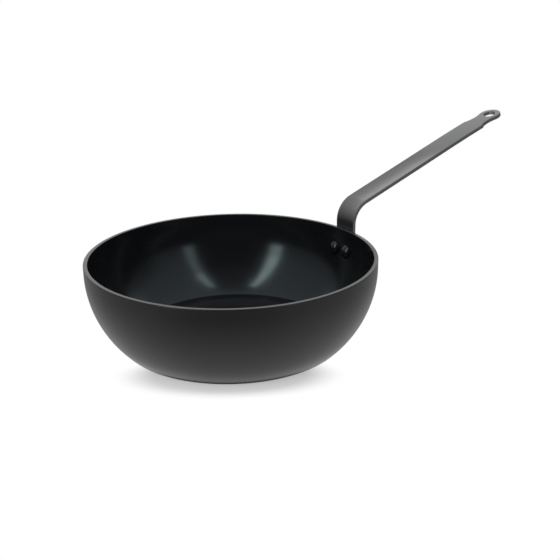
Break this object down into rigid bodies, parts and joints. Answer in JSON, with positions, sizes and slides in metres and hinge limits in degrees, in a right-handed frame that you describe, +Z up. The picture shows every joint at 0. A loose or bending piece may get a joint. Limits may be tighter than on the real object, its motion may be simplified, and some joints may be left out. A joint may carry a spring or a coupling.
{
  "type": "saute pan",
  "caption": "Deep rounded saute pan with a pressed non-stick bowl, a flat rim and a rising strap handle that ends in a hanging eye, riveted to the wall.",
  "frame": {"origin": "centre of the flat underside of the bowl", "axes": "+Z up through the bowl, +X along the handle, +Y to the left of someone holding the handle and facing the bowl from its end"},
  "size_m": [0.5025, 0.28, 0.1854],
  "materials": {
    "black_coating": "satin",
    "strap_steel": "satin",
    "rivet_metal": "satin"
  },
  "bodies": {
    "root": {"pan_body": "black_coating", "handle": "strap_steel", "rivet_left": "rivet_metal", "rivet_right": "rivet_metal"}
  },
  "joints": []
}
